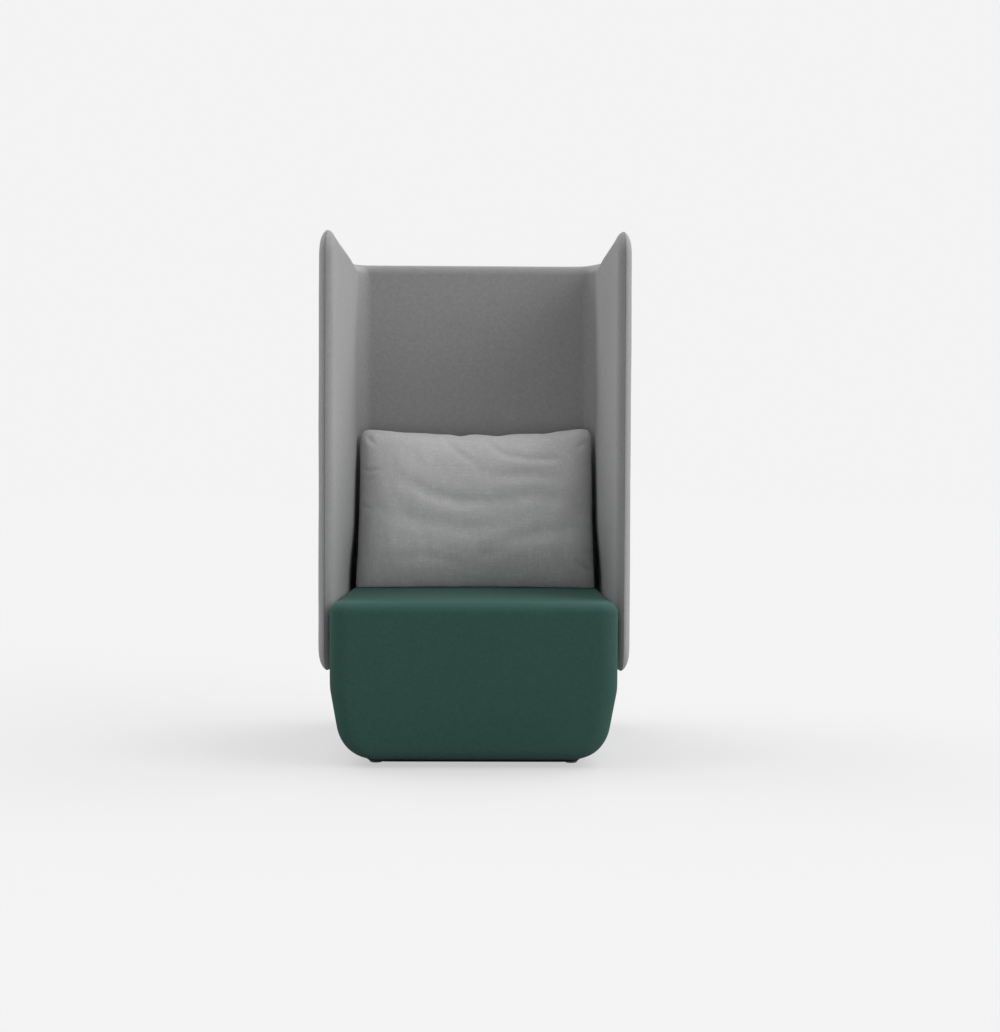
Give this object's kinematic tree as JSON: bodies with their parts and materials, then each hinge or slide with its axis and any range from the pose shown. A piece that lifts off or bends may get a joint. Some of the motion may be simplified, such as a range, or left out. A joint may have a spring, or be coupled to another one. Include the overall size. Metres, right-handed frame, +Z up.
{
  "type": "acoustic high back lounge chair",
  "caption": "Lounge seat on a tub-shaped upholstered block, wrapped on its back and sides by a tall padded acoustic screen, with a loose back cushion and levelling feet.",
  "frame": {"origin": "centre of the bounding box's underside, on the floor", "axes": "+Z up along the tallest side, -Y the way the seat faces, X across the chair"},
  "size_m": [0.826, 0.785, 1.4],
  "materials": {
    "base_fabric": "dark green felted wool",
    "screen_fabric": "mid grey felted wool",
    "cushion_fabric": "light grey linen weave",
    "foam": "open-cell foam",
    "fibre": "loose fibre filling",
    "elastic": "woven elastic strap",
    "underlining": "thin non-woven cloth",
    "plywood": "unfinished birch plywood",
    "steel": "zinc plated",
    "foot_plastic": "dark brown moulded"
  },
  "bodies": {
    "chair": {"base_cover": "base_fabric", "seat_foam": "foam", "front_foam": "foam", "rear_foam": "foam", "side_foam_left": "foam", "side_foam_right": "foam", "frame_front_panel": "plywood", "frame_rear_panel": "plywood", "frame_centre_rib": "plywood", "frame_side_left": "plywood", "frame_side_right": "plywood", "frame_floor": "plywood", "corner_blocks": "plywood", "frame_screws": "steel", "seat_straps_long": "elastic", "seat_straps_cross": "elastic", "dust_cover": "underlining", "foot_tee_nuts": "steel", "screen_core": "plywood", "screen_foam_inner": "foam", "screen_foam_outer": "foam", "screen_cover_inner": "screen_fabric", "screen_cover_outer": "screen_fabric", "screen_bolts": "steel", "screen_washers": "steel", "screen_tee_nuts": "steel"},
    "foot_front_left": {"foot_front_left_pad": "foot_plastic", "foot_front_left_stud": "steel"},
    "foot_front_right": {"foot_front_right_pad": "foot_plastic", "foot_front_right_stud": "steel"},
    "foot_rear_left": {"foot_rear_left_pad": "foot_plastic", "foot_rear_left_stud": "steel"},
    "foot_rear_right": {"foot_rear_right_pad": "foot_plastic", "foot_rear_right_stud": "steel"},
    "cushion": {"cushion_cover_front": "cushion_fabric", "cushion_cover_back": "cushion_fabric", "cushion_filling": "fibre"}
  },
  "joints": [
    {"name": "foot_front_left_screw", "type": "slide", "parent": "chair", "child": "foot_front_left", "axis": [0, 0, -1], "range_m": [0, 0.01]},
    {"name": "foot_front_right_screw", "type": "slide", "parent": "chair", "child": "foot_front_right", "axis": [0, 0, -1], "range_m": [0, 0.01]},
    {"name": "foot_rear_left_screw", "type": "slide", "parent": "chair", "child": "foot_rear_left", "axis": [0, 0, -1], "range_m": [0, 0.01]},
    {"name": "foot_rear_right_screw", "type": "slide", "parent": "chair", "child": "foot_rear_right", "axis": [0, 0, -1], "range_m": [0, 0.01]},
    {"name": "cushion_lift", "type": "slide", "parent": "chair", "child": "cushion", "axis": [0, -0.866, 0.5], "range_m": [0, 0.75]}
  ]
}
